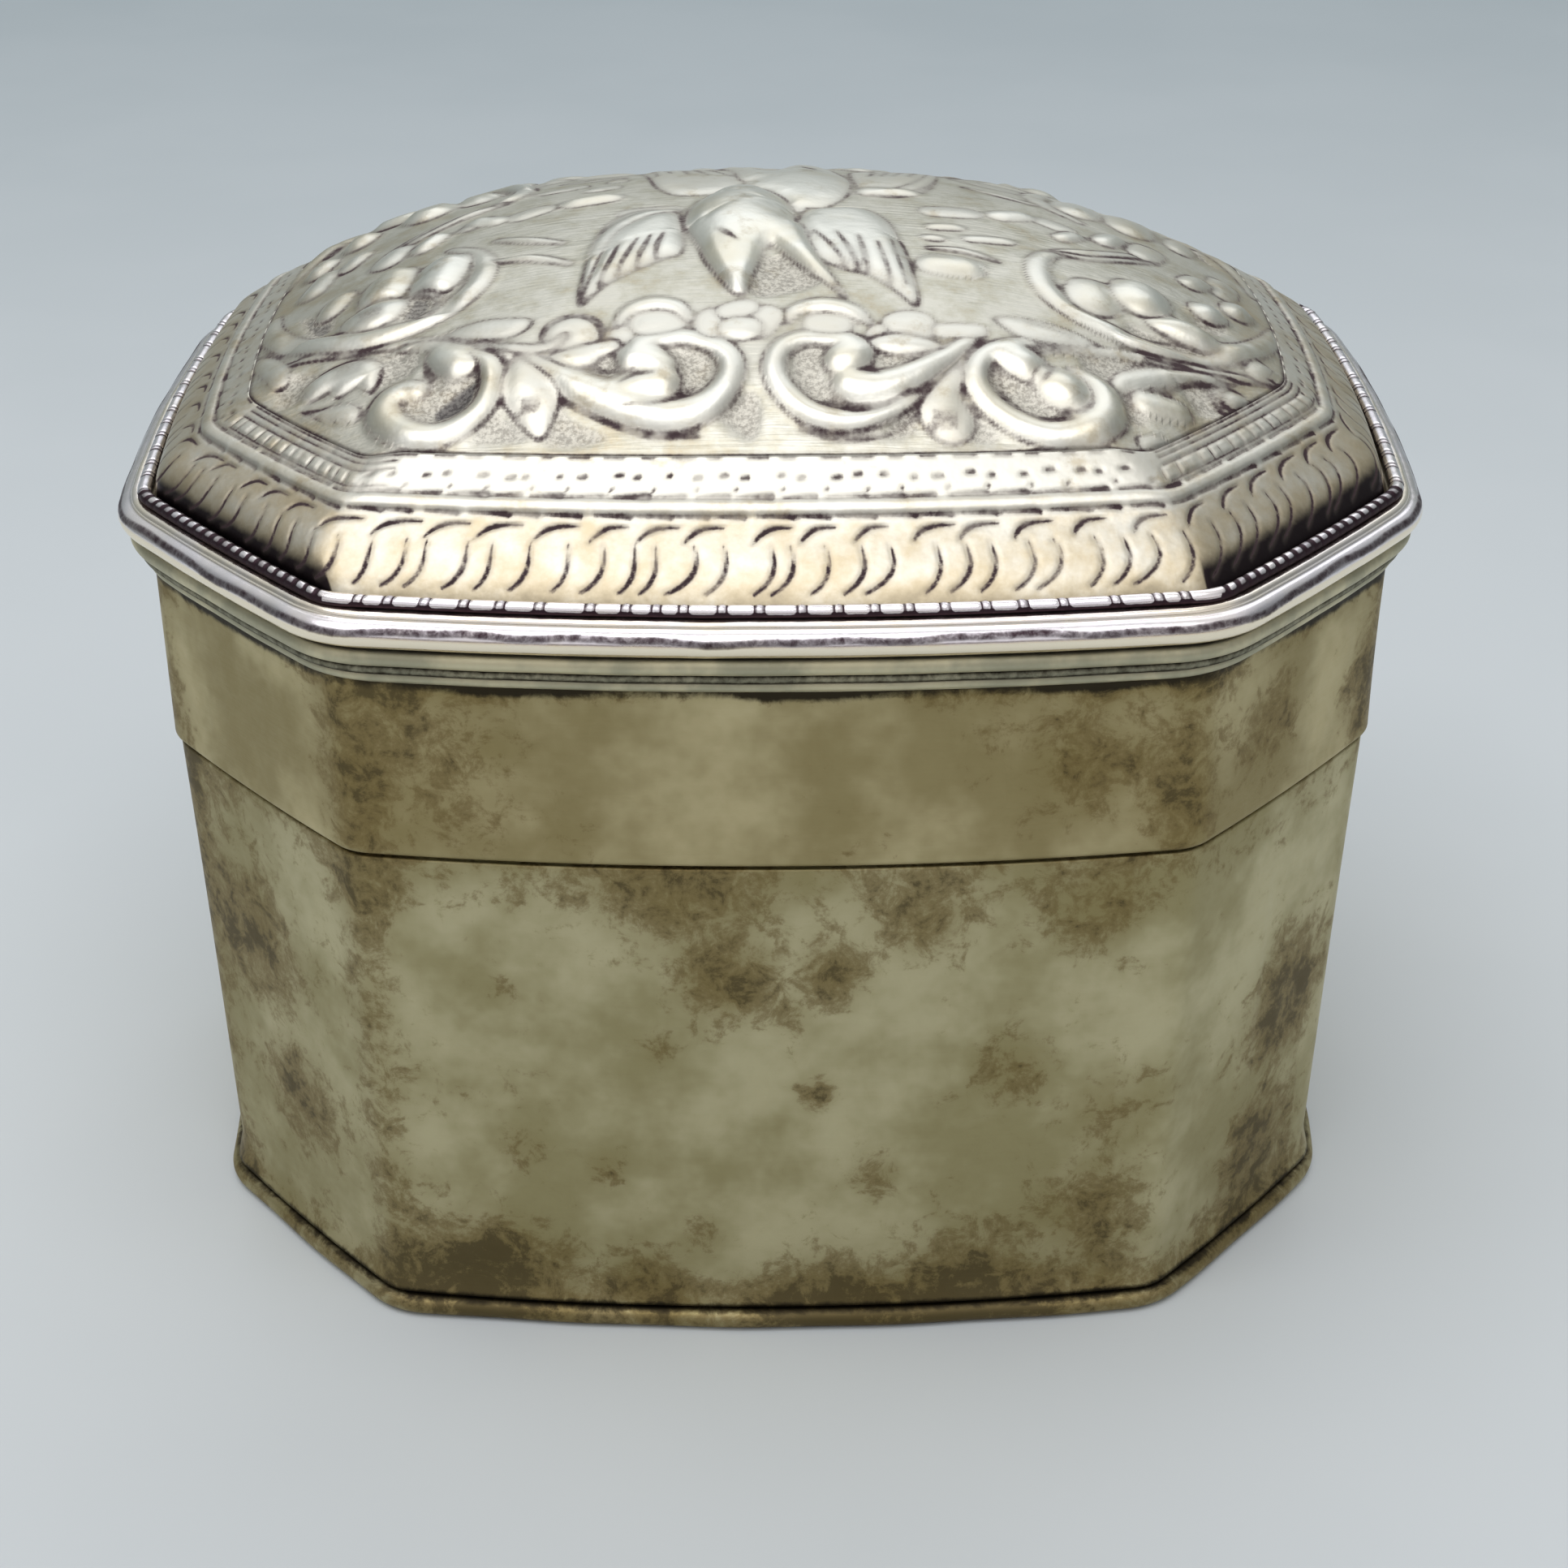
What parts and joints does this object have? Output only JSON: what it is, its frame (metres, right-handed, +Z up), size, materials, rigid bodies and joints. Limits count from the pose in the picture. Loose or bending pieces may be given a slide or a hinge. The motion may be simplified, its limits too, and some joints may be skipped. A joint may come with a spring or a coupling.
{
  "type": "lidded metal box",
  "caption": "Oblong octagonal silver box with bowed sides, a deep slip-over lid with reeded rim, and a domed top chased with scrolls and leaves.",
  "frame": {"origin": "middle of the base plate's underside, on the surface the box stands on", "axes": "+X along the long side to the right as the picture shows it, -Y towards the picture's viewer, +Z up and the way the lid lifts"},
  "size_m": [0.0916, 0.077, 0.0741],
  "materials": {
    "tarnished_silver": "dull tarnished silver sheet, olive grey with brown stains",
    "collar_silver": "satin silver sheet, rubbed by the lid",
    "chased_silver": "chased and raised silver, dark oxide in the recesses",
    "drawn_silver": "polished drawn silver wire with dark grooves"
  },
  "bodies": {
    "box": {"base_plate": "tarnished_silver", "body_wall": "tarnished_silver", "neck_collar": "collar_silver"},
    "lid": {"lid_skirt": "tarnished_silver", "reeded_strip": "drawn_silver", "rim_wire": "drawn_silver", "notched_wire": "drawn_silver", "lid_dome": "chased_silver"}
  },
  "joints": [
    {"name": "lid_lift", "type": "slide", "parent": "box", "child": "lid", "axis": [0, 0, 1], "range_m": [0, 0.04]}
  ]
}
